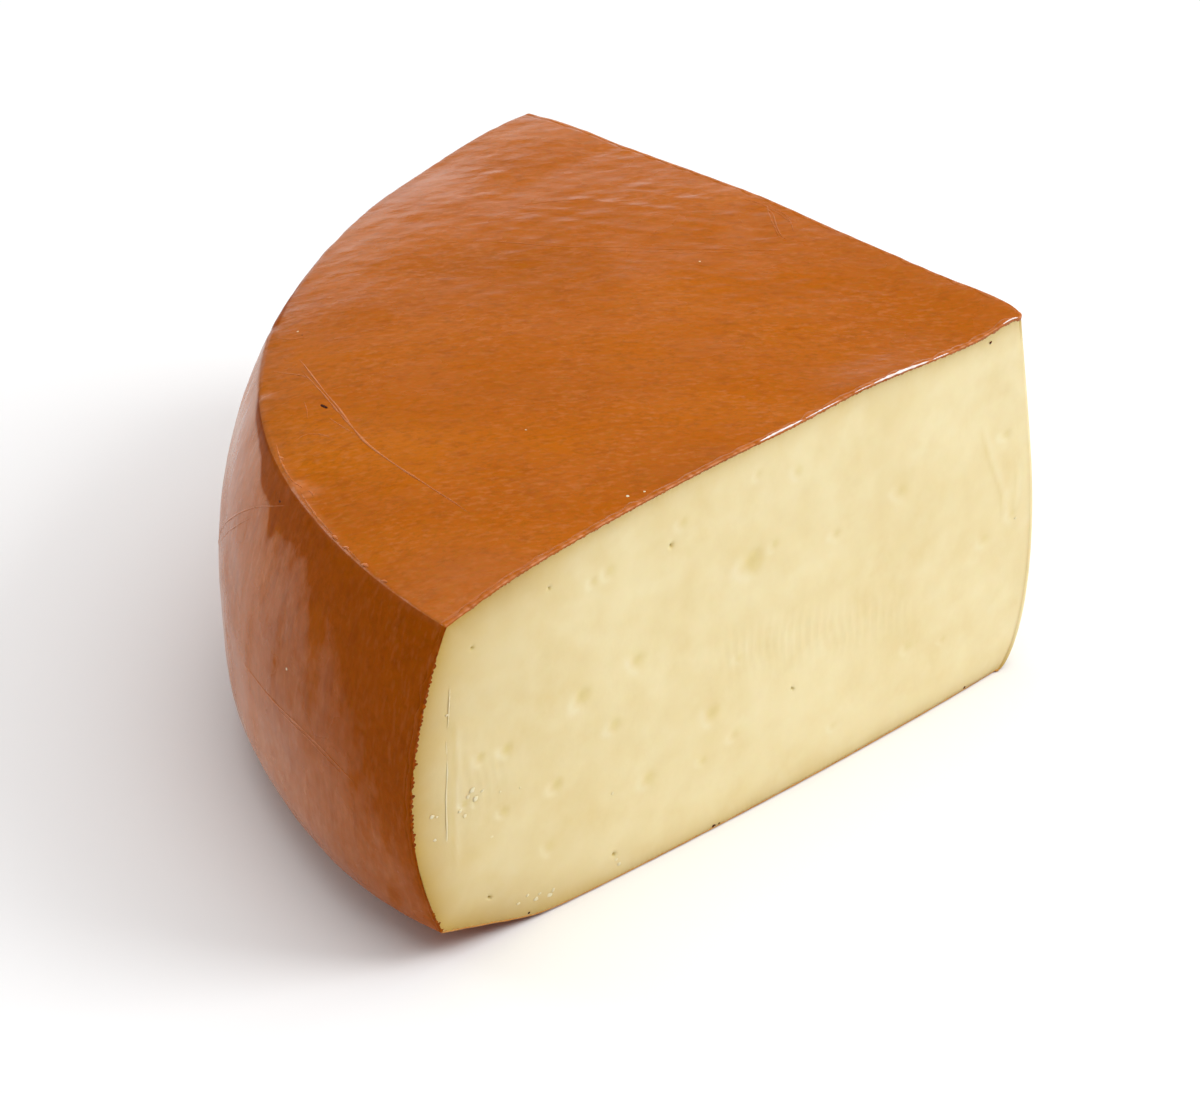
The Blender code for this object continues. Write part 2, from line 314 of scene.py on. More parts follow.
def ridges(grid, lines):
    """How far the dragged ridges stand out, and their tint: a tan line of painted shade on the rim's side of
    each, and a chalky painted highlight on its crest.
    """
    rise, tint = np.zeros(grid.shape[:2]), np.zeros(grid.shape[:2])
    along, height = grid[..., 0] / MM, grid[..., 1] / MM
    for points, high, half_width in lines:
        across, up = np.array(points, float).T
        off = (along - np.interp(height, up, across)) / half_width
        ends = ease(height, up[0], up[0] + 6) * ease(height, up[-1], up[-1] - 6)
        rise += high * MM * bell(off, 1) * ends
        # Painted shade beside each ridge and a painted highlight on it.
        tint += (0.20 * np.exp(-((off - 1.2) ** 2) / 0.4) - 0.25 * bell(off, 1)) * ends
    return rise, tint


def knife_marks(grid, seed):
    """Low unevenness that the knife left: slow waves, and short upright ripples in two patches."""
    slow = 0.10 * MM * ripple(grid, 30 * MM, seed) + 0.025 * MM * ripple(grid, 6 * MM, seed + 1)
    along, height = grid[..., 0], grid[..., 1]
    ripples = np.sin(along * 2 * pi / KNIFE_RIPPLE_LENGTH + 1.6 * ripple(grid, 12 * MM, seed + 2))
    share = np.clip((along - 31 * MM) / (48 * MM), -0.5, 1.5)
    patch = bell(height - (27 + 11 * share) * MM, 4.5 * MM)
    patch = patch * ease(share, -0.15, 0.1) * ease(share, 1.15, 0.9)
    corner = bell(along - 138 * MM, 7 * MM) * bell(height - 36 * MM, 7 * MM)
    return slow + KNIFE_RIPPLE_HEIGHT * (patch + 0.8 * corner) * ripples


def pinhole_depth(grid, pinholes):
    depth = np.zeros(grid.shape[:2])
    for along, height, half_width in pinholes:
        away = np.linalg.norm(grid / MM - np.array([along, height]), axis=-1) / half_width
        depth += PINHOLE_DEPTH * np.exp(-away**2 * 1.5)
    return depth


def rind_nearness(grid, angle):
    """1 at the rind, fading to 0 a few millimetres into the paste."""
    line = outline(angle, (120, 60, 120), PASTE_INSET)[1:-1, 0]
    gap = np.full(grid.shape[:2], np.inf)
    for point in line:
        gap = np.minimum(gap, np.linalg.norm(grid - point, axis=-1))
    wall_side = ease(grid[..., 0], 90 * MM, 150 * MM)
    narrow = np.exp(-gap / (RIND_BAND * (0.45 + 0.80 * wall_side)))
    return (0.66 + 0.12 * wall_side) * narrow + 0.18 * wall_side


def fade_at_edges(shape):
    u = np.minimum(np.arange(shape[0]), np.arange(shape[0])[::-1])[:, None] / 2
    v = np.minimum(np.arange(shape[1]), np.arange(shape[1])[::-1])[None] / 2
    return np.clip(np.minimum(u, v), 0, 1)


def scattered_eyes(seed, count):
    """Eyes for the cut that the photo doesn't show, strewn like those that it does."""
    draw = np.random.default_rng(seed)
    eyes = []
    while len(eyes) < count:
        width = 1.1 + 1.8 * draw.random() ** 2
        eye = (draw.uniform(14, 140), draw.uniform(10, 66), width, width * draw.uniform(0.12, 0.24))
        if all(hypot(eye[0] - e[0], eye[1] - e[1]) > eye[2] + e[2] + 2 for e in eyes):
            eyes.append(eye)
    return eyes


def cut_face(angle, eyes, pinholes, lines, seed):
    """Points of one cut face, with how near the rind each is and its tint: towards 1 tan and painted shade,
    towards -1 chalky painted highlight.
    """
    grid = section_grid(angle, pinholes)
    pits, tint = eye_shapes(grid, eyes, seed)
    holes = pinhole_depth(grid, pinholes)
    raised, drag_tint = ridges(grid, lines)
    depth = (pits + holes + knife_marks(grid, seed + 1) - raised) * fade_at_edges(grid.shape[:2])
    points = place(grid[..., 0], grid[..., 1], np.full(grid.shape[:2], angle))
    points += depth[..., None] * np.array([-sin(angle), cos(angle), 0])
    # The pinholes add painted shade to the tint.
    tint = np.clip(tint + drag_tint, -1, 0.6) + np.clip(holes / (0.8 * MM), 0, 1)
    return np.dstack([points, rind_nearness(grid, angle), tint])


def grid_faces(ids):
    return np.stack([ids[:-1, :-1], ids[1:, :-1], ids[1:, 1:], ids[:-1, 1:]], -1).reshape(-1, 4).tolist()


def put_in_scene(name, data):
    thing = bpy.data.objects.new(name, data)
    bpy.context.scene.collection.objects.link(thing)
    return thing


def new_piece(name, points, faces, marks=None):
    """A closed smooth-shaded mesh object, its normals facing out, with a number per point for each mark."""
    mesh = bpy.data.meshes.new(name)
    corners = (list(dict.fromkeys(face)) for face in faces)
    mesh.from_pydata(np.asarray(points).tolist(), [], [face for face in corners if len(face) > 2])
    body = bmesh.new()
    body.from_mesh(mesh)
    bmesh.ops.recalc_face_normals(body, faces=body.faces)
    body.to_mesh(mesh)
    body.free()
    for mark, values in (marks or {}).items():
        mesh.attributes.new(mark, "FLOAT", "POINT").data.foreach_set("value", np.asarray(values, np.float32))
    mesh.shade_smooth()
    return put_in_scene(name, mesh)


def build_paste():
    ids = np.full((ALONG + 1, UP + 1, ROUND + 1), -1)
    rows = []

    def add(where, values):
        block = ids[where]
        fresh = block < 0
        block[fresh] = np.arange(fresh.sum()) + sum(len(row) for row in rows)
        ids[where] = block
        rows.append(values[fresh])

    def hidden(line):
        spots = place(line[..., 0], line[..., 1], np.broadcast_to(angles, line.shape[:2]))
        return np.dstack([spots, np.ones(spots.shape[:2]), np.zeros(spots.shape[:2])])

    add(np.s_[:, :, 0], cut_face(0.0, NEAR_EYES, NEAR_PINHOLES, NEAR_RIDGES, 11))
    far_eyes = scattered_eyes(21, FAR_EYE_COUNT)
    add(np.s_[:, :, ROUND], cut_face(QUARTER, far_eyes, FAR_PINHOLES, FAR_RIDGES, 31))
    angles = np.linspace(0, QUARTER, ROUND + 1)
    line = outline(angles, SECTION_STEPS, PASTE_INSET)
    tip = hidden(line[-1] + (line[0] - line[-1]) * np.linspace(0, 1, UP + 1)[:, None, None])
    tip[..., 3] = np.exp(-np.minimum(np.arange(UP + 1), np.arange(UP + 1)[::-1]) * 0.6 / 3.2)[:, None]
    add(np.s_[0, :, :], tip)
    add(np.s_[:, UP, :], hidden(line[:ALONG + 1]))
    add(np.s_[ALONG, :, :], hidden(line[ALONG:ALONG + UP + 1][::-1]))
    add(np.s_[:, 0, :], hidden(line[ALONG + UP:][::-1]))
    sides = (ids[:, :, 0], ids[:, :, ROUND], ids[:, UP, :], ids[:, 0, :], ids[ALONG, :, :], ids[0, :, :])
    faces = [face for side in sides for face in grid_faces(side)]
    rows = np.concatenate(rows)
    return new_piece("paste", rows[:, :3], faces, {"near_rind": rows[:, 3], "tint": rows[:, 4]})


def srgb(red, green, blue):
    """A colour as seen on a screen, 0 to 255, as the linear values that a shader takes."""
    values = np.array([red, green, blue]) / 255
    return tuple(np.where(values <= 0.04045, values / 12.92, ((values + 0.055) / 1.055) ** 2.4))


class Look:
    """A surface, with short ways to add what varies over it."""

    def __init__(self, name):
        self.material = bpy.data.materials.new(name)
        self.material.use_nodes = True
        self.nodes = self.material.node_tree.nodes
        self.shader = self.nodes["Principled BSDF"]

    def join(self, source, target):
        self.material.node_tree.links.new(source, target)

    def fill(self, node, values):
        for socket, value in values.items():
            node.inputs[socket.replace("_", " ")].default_value = value

    def set(self, **values):
        self.fill(self.shader, values)

    def node(self, kind, **values):
        node = self.nodes.new("ShaderNode" + kind)
        self.fill(node, values)
        return node

    def noise(self, scale, detail=3, stretch=(1, 1, 1), turn=0):
        mapping = self.node("Mapping", Scale=stretch, Rotation=(0, 0, turn))
        mapping.vector_type = "TEXTURE"
        noise = self.node("TexNoise", Scale=scale, Detail=detail)
        self.join(self.node("TexCoord").outputs["Object"], mapping.inputs["Vector"])
        self.join(mapping.outputs["Vector"], noise.inputs["Vector"])
        return noise.outputs["Fac"]

    def mark(self, name):
        attribute = self.node("Attribute")
        attribute.attribute_name = name
        return attribute.outputs["Fac"]

    def colours(self, source, *stops):
        ramp = self.node("ValToRGB")
        elements = ramp.color_ramp.elements
        while len(elements) < len(stops):
            elements.new(0.5)
        for element, (position, colour) in zip(elements, stops):
            element.position = position
            element.color = (*srgb(*colour), 1)
        self.join(source, ramp.inputs["Fac"])
        return ramp.outputs["Color"]

    def tones(self, scale, deeper, lighter, apart=0.15, detail=3):
        """A colour that wavers between two."""
        return self.colours(self.noise(scale, detail), (0.5 - apart, deeper), (0.5 + apart, lighter))

    def spread(self, source, low, high, start=0.3, end=0.7):
        """A number that runs from low to high while the source runs from start to end."""
        spread = self.node("MapRange", From_Min=start, From_Max=end, To_Min=low, To_Max=high)
        self.join(source, spread.inputs["Value"])
        return spread.outputs["Result"]

    def add(self, first, second):
        total = self.node("Math")
        self.join(first, total.inputs[0])
        self.join(second, total.inputs[1])
        return total.outputs["Value"]

    def mix(self, share, first, second):
        mix = self.node("Mix")
        mix.data_type = "RGBA"
        self.join(share, mix.inputs["Factor"])
        self.join(first, mix.inputs["A"])
        self.join(second, mix.inputs["B"])
        return mix.outputs["Result"]

    def bumps(self, *layers):
        """Layers of height, each a source, a strength and a distance in millimetres."""
        normal = None
        for source, strength, distance in layers:
            bump = self.node("Bump", Strength=strength, Distance=distance * MM)
            self.join(source, bump.inputs["Height"])
            if normal:
                self.join(normal, bump.inputs["Normal"])
            normal = bump.outputs["Normal"]
        self.join(normal, self.shader.inputs["Normal"])


def paste_look():
    look = Look("paste")
    cream = look.tones(38, (233, 213, 158), (240, 224, 175))
    pale = look.tones(160, (230, 208, 149), (243, 229, 184), 0.2, detail=4)
    cream = look.mix(look.spread(look.noise(90), 0.2, 0.6), cream, pale)
    tan = look.tones(70, (168, 124, 0), (184, 142, 6), 0.2)
    cream = look.mix(look.spread(look.mark("near_rind"), 0, 0.9, 0.02, 0.95), cream, tan)
    tint = look.mark("tint")
    # The chalky colour is a painted highlight on the eyes' lit edges, the ridges and the drawn-up line, and
    # the crumbs' own paler colour.
    chalk_and_highlight = look.tones(400, (243, 232, 194), (250, 241, 210), 0.2)
    cream = look.mix(look.spread(tint, 0, 0.8, 0, -1), cream, chalk_and_highlight)
    # The eyes' yellower tan is partly their own colour and partly painted shade.
    eye = look.tones(300, (204, 178, 74), (216, 192, 92), 0.1)
    cream = look.mix(look.spread(tint, 0, 0.9, 0, 1), cream, eye)
    # Painted shade: the pinholes are darkened to brown.
    hole = look.tones(300, (104, 74, 22), (122, 90, 32), 0.1)
    look.join(look.mix(look.spread(tint, 0, 0.9, 0.62, 1), cream, hole), look.shader.inputs["Base Color"])
    look.join(look.spread(look.noise(220), 0.36, 0.52), look.shader.inputs["Roughness"])
    look.set(Specular_IOR_Level=0.35, Subsurface_Weight=0.2, Subsurface_Radius=(0.9, 0.55, 0.22),
             Subsurface_Scale=0.003)
    look.bumps((look.noise(420), 0.25, 0.15), (look.noise(1500, 2), 0.2, 0.05))
    return look.material


paste = build_paste()
paste.data.materials.append(paste_look())
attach(paste, "root")
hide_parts(NODE)


# The wax coat.
# The real rind is cheese wax: the dry wheel was dipped, and the wax set as a glossy skin under a millimetre
# thick, with low waves and finger dents, and a thin lip where it gathered at the rim.

WAX_THICKNESS = 0.6 * MM
WAX_STEPS = (150, 72, 64)
WAX_ROUND, WAX_ROUND_INSIDE = 190, 38
HIDDEN_UNDER_EDGE = 0.4 * MM
EVEN_BELOW = 1.0 * MM
GRAIN_TURN = radians(-42)
# Distance from the axis, degrees from the near cut, reach and rise, in millimetres.
DENTS_AND_KNOBS = (
    (144.6, 21.9, 1.7, 0.45), (144.2, 23.6, 1.2, 0.25), (85.1, 54.5, 2.5, -0.13), (85.1, 84.4, 2.2, -0.12),
    (102.4, 18.8, 1.3, -0.12), (118, 48, 3.5, -0.12), (60, 36, 4, -0.12), (128, 66, 2.6, -0.14),
    (126, 71, 2.2, 0.1),
)
# Degrees, reach and depth.
RIM_NOTCHES = (
    (36.2, 0.8, 0.45), (25.6, 1.2, 0.2), (17.4, 1.3, 0.22), (13.6, 1.2, 0.34), (10.6, 1.6, 0.26),
    (7.9, 1.2, 0.3), (5, 1.5, 0.16), (47, 1.4, 0.18), (63, 1.5, 0.2), (79, 1.3, 0.18),
)
# Degrees, then the height on the wall above which it is dull and painted darker as shade.
DULL_SHADE_BORDER = (
    (0, 2, 3.9, 6, 7, 8.6, 10.4, 11.7, 13.5, 14.9, 16.5, 19.3, 24.6, 26.4, 28.8, 30.8, 35.8, 41, 90),
    (5, 20.3, 29.2, 39.1, 43.8, 49, 55, 57.2, 58.7, 60.8, 62.6, 63.4, 64.2, 66.2, 68.2, 68.9, 70, 75, 90),
)
# Painted highlights on knobs at the rim: distance from the axis, degrees and reach.
KNOB_HIGHLIGHTS = ((144.6, 21.9, 1.5), (142.9, 20.6, 1.4), (145, 36, 1.2))


def near_cuts(radius, angle):
    """Which way and how much the coat stops short of the two cuts, where its rounded edge takes over."""
    power = 1 + 7 * ease(radius, 3 * MM, 30 * MM)
    x = -np.sin(angle) ** power
    y = np.maximum(np.cos(angle), 0) ** power
    return np.stack([x, y, 0 * x], -1) * HIDDEN_UNDER_EDGE


def grain_ripple(points, length, stretch, seed):
    """A ripple drawn out in one direction across the top."""
    along = np.array([cos(GRAIN_TURN), sin(GRAIN_TURN), 0])
    drawn_out = np.outer((points @ along).ravel(), along).reshape(points.shape) * (1 - 1 / stretch)
    return ripple(points - drawn_out, length, seed)


def rim_distance(radius, height, angle):
    return np.hypot(radius - TOP_RIM_RADIUS, height - top_height(TOP_RIM_RADIUS + 0 * angle, angle))


def wax_relief(points, radius, height, angle):
    """How far the wax stands out from the even form."""
    turn = np.degrees(angle)
    relief = 0.08 * MM * ripple(points, 27 * MM, 5) + 0.022 * MM * ripple(points, 8 * MM, 6)
    near_corner = bell(turn, 8) * bell(radius - 136 * MM, 13 * MM)
    wrinkled = 0.010 + 0.030 * ease(turn, 30, 65) + 0.020 * near_corner
    relief = relief + wrinkled * MM * grain_ripple(points, 3.2 * MM, 2.2, 7)
    rim = rim_distance(radius, height, angle)
    uneven = 0.65 + 0.35 * ripple(points, 5 * MM, 8)
    relief += 0.13 * MM * bell(rim, 1.2 * MM) * uneven * ease(turn, 88, 60)
    for r, a, reach, rise in DENTS_AND_KNOBS:
        away = np.hypot(radius - r * MM, radius * (angle - radians(a)))
        relief += rise * MM * bell(away, reach * MM) * (height > 60 * MM)
    for at, reach, deep in RIM_NOTCHES:
        notch = bell(radius * (angle - radians(at)), reach * MM)
        relief -= deep * MM * notch * bell(rim, 2.0 * MM)
    return relief


def dull_and_shaded_zone(points, height, angle, on_wall):
    """Above a half where the wall is dull and painted darker as shade: sharply bordered below the rim,
    gradual lower down.
    """
    turn = np.degrees(angle)
    border = np.interp(turn, *DULL_SHADE_BORDER)
    tongues = 1.8 * ripple(np.stack([turn, 0.04 * height / MM], -1), 2.6, 9)
    tongues += 0.5 * ripple(points, 3 * MM, 10)
    past = height / MM - border + tongues * ease(turn, 30, 22)
    width = 5 + 9 * np.maximum(67 - height / MM, 0) * ease(turn, 26, 18)
    return np.clip(0.5 + past / width, 0, 1) * on_wall


def painted_sheen(points, radius, height, angle):
    """Painted sheen on the wax: highlights on knobs and along the rim, a painted reflection low on the wall,
    a haze by the near corner, and clouds by the far cut.
    """
    turn = np.degrees(angle)
    rim = rim_distance(radius, height, angle)
    sheen = 0.12 * bell(rim, 0.8 * MM) * ease(turn, 32, 26) * ease(turn, 10, 15)
    for r, a, reach in KNOB_HIGHLIGHTS:
        away = np.hypot(radius / MM - r, radius / MM * (angle - radians(a)))
        sheen += 0.30 * bell(away, reach) * (height > 68 * MM)
    # Painted reflection of a bright floor low on the wall.
    low = 0.42 * bell(turn - 19, 9) + 0.16 * bell(turn - 4, 5)
    sheen += low * bell(height - 17 * MM, 11 * MM) * (height < 60 * MM)
    sheen += 0.10 * bell(turn, 7) * bell(radius - 138 * MM, 12 * MM) * (height > 70 * MM)
    # Painted sheen in clouds and a broad haze towards the far cut.
    clouds = ease(ripple(points, 14 * MM, 12), 0.2, 1.4) * ease(turn, 35, 70)
    return np.clip(sheen + 0.07 * clouds + 0.03 * ease(turn, 62, 88), 0, 1)


def rim_shadow(radius, height, angle, dull_and_shaded):
    """The dull and shaded mark with the far rim's edge added, and the painted shadow below and along the rim.
    """
    turn = np.degrees(angle)
    rim = rim_distance(radius, height, angle)
    below = 0.12 * bell(turn - 21, 6) + 0.42 * bell(turn - 33, 6)
    far_edge = ease(turn, 40, 50)
    along = 0.14 * bell(rim, 4 * MM) * ease(turn, 24, 30) + 0.12 * far_edge * bell(rim, 1.5 * MM)
    shadow = below * ease(dull_and_shaded, 0.3, 0.8) + along
    return np.maximum(dull_and_shaded, 0.7 * far_edge * bell(rim, 1.8 * MM)), shadow


def coat_side(steps, inset):
    """Radius, height, angle and place of each point on the outside or the inside of the coat."""
    angle = np.linspace(0, QUARTER, steps + 1)
    line = outline(angle, WAX_STEPS, inset)
    angle = np.broadcast_to(angle, line.shape[:2])
    return line[..., 0], line[..., 1], angle, place(line[..., 0], line[..., 1], angle)


def numbered(points):
    return np.arange(points[..., 0].size).reshape(points.shape[:-1])


def build_wax_coat():
    radius, height, angle, outer = coat_side(WAX_ROUND, 0)
    inner_radius, _, inner_angle, inner = coat_side(WAX_ROUND_INSIDE, WAX_THICKNESS)
    facing = unit(np.cross(np.gradient(outer, axis=1), np.gradient(outer, axis=0)))
    relief = wax_relief(outer, radius, height, angle)
    relief[height < EVEN_BELOW] = 0
    wall = (np.arange(len(outer)) > WAX_STEPS[0] + 3)[:, None]
    pale = painted_sheen(outer, radius, height, angle)
    dull_and_shaded, shadow = rim_shadow(radius, height, angle, dull_and_shaded_zone(outer, height, angle, wall))
    upright = np.broadcast_to(wall, dull_and_shaded.shape)
    marks = {name: np.append(values.ravel(), np.zeros(inner.size // 3))
             for name, values in (("dull_and_shaded", dull_and_shaded), ("pale", pale), ("dark", shadow), ("upright", upright))}
    outer = outer + facing * relief[..., None] + near_cuts(radius, angle)
    inner = inner + near_cuts(inner_radius, inner_angle)
    outer_ids = numbered(outer)
    inner_ids = outer_ids.size + numbered(inner)
    faces = grid_faces(outer_ids) + grid_faces(inner_ids)
    for column in (0, -1):
        faces += grid_faces(np.stack([outer_ids[:, column], inner_ids[:, column]], 1))
    for row in (0, -1):
        faces.append(outer_ids[row].tolist() + inner_ids[row][::-1].tolist())
    return new_piece("wax_coat", np.concatenate([outer.reshape(-1, 3), inner.reshape(-1, 3)]), faces, marks)


def wax_look():
    """One wax for all its pieces. Marks say where it is thin or streaked upright, where it is dark (a painted
    shadow at the rim, darker wax on the cut edge), where it is dull with painted shade, and where it is pale
    or white with painted sheen and highlights.
    """
    look = Look("wax")

    def along_grain(scale, detail, stretch):
        return look.noise(scale, detail, (stretch, 1, 1), GRAIN_TURN)

    def streaked(on_flat, on_side):
        """Along the grain on the top, upright on the wall: scale, detail and stretch of each."""
        scale, detail, stretch = on_side
        side = look.noise(scale, detail, (1, 1, stretch))
        return look.mix(look.mark("upright"), along_grain(*on_flat), side)

    stops = (0.30, (166, 84, 7)), (0.50, (177, 90, 7)), (0.72, (187, 100, 8))
    broad = look.colours(along_grain(26, 4, 1.6), *stops)
    dark = look.tones(240, (128, 58, 4), (150, 73, 6), 0.2, detail=4)
    streaks = streaked((620, 5, 1.9), (420, 5, 5))
    colour = look.mix(look.spread(streaks, 0, 0.40, 0.50, 0.72), broad, dark)
    olive = look.tones(300, (150, 84, 2), (166, 96, 4), 0.1)
    colour = look.mix(look.spread(along_grain(1500, 3, 1.4), 0, 0.55, 0.46, 0.66), colour, olive)
    # Painted glints: rosy flecks stand for sheen on the crests of fine wrinkles.
    glint_flecks = streaked((1000, 4, 1.8), (800, 4, 3))
    rosy = look.tones(60, (186, 104, 44), (204, 124, 70))
    colour = look.mix(look.spread(glint_flecks, 0, 0.36, 0.50, 0.70), colour, rosy)
    # Pale and white are painted sheen and highlights; dark is painted shadow on the coat and darker wax on
    # the cut edge; thin is wax thin over the paste.
    for mark, scale, detail, deeper, lighter in (
        ("pale", 500, 3, (222, 140, 92), (236, 168, 126)),
        ("thin", 300, 4, (196, 140, 62), (216, 168, 92)),
        ("white", 500, 3, (238, 214, 204), (252, 242, 238)),
        ("dark", 700, 3, (72, 27, 2), (108, 46, 4)),
    ):
        colour = look.mix(look.mark(mark), colour, look.tones(scale, deeper, lighter, detail=detail))
    wavering = look.spread(look.noise(260, 5), -0.035, 0.035)
    dull_and_shaded = look.spread(look.add(look.mark("dull_and_shaded"), wavering), 0, 1, 0.37, 0.55)
    # Painted shade: where the wax is dull it is mixed towards a deep brown.
    deep = look.tones(700, (112, 32, 0), (136, 48, 2))
    look.join(look.mix(look.spread(dull_and_shaded, 0, 0.42, 0, 1), colour, deep), look.shader.inputs["Base Color"])
    look.join(look.spread(along_grain(75, 4, 1.8), 0.17, 0.33), look.shader.inputs["Roughness"])
    patchy = streaked((170, 4, 2.2), (120, 5, 4))
    matt = look.add(dull_and_shaded, look.spread(patchy, 0, 0.6, 0.48, 0.68))
    look.set(Specular_IOR_Level=0.18)
    look.join(look.spread(matt, 0.20, 0.01, 0, 1), look.shader.inputs["Specular IOR Level"])
    waves, wrinkles = along_grain(130, 4, 2.2), along_grain(340, 4, 2.2)
    look.bumps((waves, 0.26, 0.25), (wrinkles, 0.60, 0.16), (streaks, 0.50, 0.12))
    return look.material


wax_coat = build_wax_coat()
wax_coat.data.materials.append(wax_look())
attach(wax_coat, "root")


# The wax edge.
# Where the knife went through, the coat ends in a rounded edge that runs round both cuts and the tip. The
# blade dragged it into fine teeth, and pressed it slightly proud of the paste.

EDGE_STEPS = (840, 440, 840)
# Across the edge: how far it rises from the coat's outside, and how far it stands beyond the cut.
EDGE_PROFILE = ((-0.30, -1.3), (0.00, -1.0), (0.03, -0.6), (0.03, -0.3), (0.00, -0.05), (-0.08, 0.05),
                (-0.20, 0.08), (-0.32, 0.07), (-0.41, 0.02), (-0.43, -0.40), (-0.36, -0.9))
TOOTH_LENGTH = 0.95 * MM
TIP_STEPS = 12


def edge_path():
    """The closed line round the coat's edge: near cut, over the tip, far cut, under the tip."""
    near, far = (outline(angle, EDGE_STEPS)[:, 0] for angle in (0.0, QUARTER))
    near_out, far_out = outward(near[:, None])[:, 0], outward(far[:, None])[:, 0]
    turn = np.linspace(0, QUARTER, TIP_STEPS + 2)[1:-1]
    tip = np.full(TIP_STEPS, TIP_ROUNDING)
    over = np.stack([tip, top_height(tip, turn)], -1)
    line = np.concatenate([near[::-1], over, far, over * [1, 0]])
    up = np.tile([0.0, 1.0], (TIP_STEPS, 1))
    out = np.concatenate([near_out[::-1], up, far_out, -up])
    angle = np.concatenate([np.zeros(len(near)), turn, np.full(len(far), QUARTER), turn[::-1]])
    return line, out, angle


def build_wax_edge():
    line, out, angle = edge_path()
    spots = place(line[:, 0], line[:, 1], angle)
    aside = np.stack([np.sin(angle), -np.cos(angle), 0 * angle], -1)
    outwards = np.stack([-np.cos(angle) * out[:, 0], np.sin(angle) * out[:, 0], out[:, 1]], -1)
    relief = wax_relief(spots, line[:, 0], line[:, 1], angle) * (line[:, 1] > EVEN_BELOW) / MM
    dull_and_shaded = dull_and_shaded_zone(spots, line[:, 1], angle, (out[:, 0] > 0.7) * (angle < 1))
    run = np.concatenate([[0], np.cumsum(np.linalg.norm(np.diff(spots, axis=0), axis=-1))])[:, None]
    tooth = np.abs(np.sin(pi * run[:, 0] / TOOTH_LENGTH + 1.2 * ripple(run, 9 * MM, 41))) ** 0.7
    torn = np.exp(-line[:, 0] / (10 * MM)) * (line[:, 1] > 40 * MM) * (0.5 + 0.5 * ripple(run, 2.5 * MM, 44))
    depth = np.maximum(0.48 + 0.26 * ripple(run, 2.6 * MM, 42), 0.05) * tooth + np.maximum(torn, 0)
    top_share = np.clip(out[:, 1], 0, 1) ** 4
    base_share = np.clip(-out[:, 1], 0, 1) ** 4
    depth = depth * (1 - 0.65 * top_share - 0.75 * base_share)
    thin = 1 - 0.55 * base_share
    proud = 1 + 0.25 * ripple(run, 6 * MM, 43)
    rise, beyond = np.array(EDGE_PROFILE).T
    on_cut = (rise < -0.05) & (beyond > -0.5)
    teeth = (rise < -0.38) & (beyond > -0.5)
    reach = rise * np.where(rise < 0, thin[:, None], proud[:, None])
    reach = reach - depth[:, None] * teeth + relief[:, None]
    points = spots[:, None] + outwards[:, None] * reach[..., None] * MM
    points += aside[:, None] * (beyond * proud[:, None])[..., None] * MM
    points[..., 2] = np.maximum(points[..., 2], 0.02 * MM)
    ids = np.pad(numbered(points), ((0, 1), (0, 1)), "wrap")
    side_share = 1 - top_share - base_share
    toothed = 0.08 + 0.82 * side_share - 0.08 * base_share
    blotched = np.clip(0.72 + 0.35 * ripple(run, 2 * MM, 46), 0.15, 1)
    dark = np.maximum(0.65 * side_share[:, None] * on_cut, toothed[:, None] * teeth) * blotched[:, None]
    corner = np.where((rise > -0.1) & (rise <= 0) & (beyond > -0.2), 1, np.where(rise == 0.03, 0.4, 0))
    uneven = np.clip(0.45 + 0.35 * ripple(run, 7 * MM, 45) + 0.45 * ripple(run, 1.6 * MM, 47), 0, 1)
    # Painted highlight along the rounded top of the edge.
    pale = (0.50 * top_share * uneven)[:, None] * corner
    thin_below = (0.85 * base_share)[:, None] * on_cut
    across = len(EDGE_PROFILE)
    marks = {"dark": np.clip(dark, 0, 1).ravel(), "pale": pale.ravel(), "thin": thin_below.ravel(),
             "dull_and_shaded": np.repeat(dull_and_shaded, across), "upright": np.repeat(side_share, across)}
    return new_piece("wax_edge", points.reshape(-1, 3), grid_faces(ids), marks)


wax_edge = build_wax_edge()
wax_edge.data.materials.append(wax_coat.data.materials[0])
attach(wax_edge, "root")


# The threads.
# Dipping and handling left hair-thin raised lines of wax: a long doubled one on the top near the rim, a pair
# across the middle, curls by the far cut, and the seam of the two dips round the wall. Small lips and lumps
# of the same wax hang on the rim.

coat = wax_coat.data
skin = BVHTree.FromPolygons([v.co for v in coat.vertices], [p.vertices for p in coat.polygons])

THREAD_SECTION = ((-0.5, -0.2), (-0.3, 0.6), (0, 1), (0.3, 0.6), (0.5, -0.2), (0, -1))
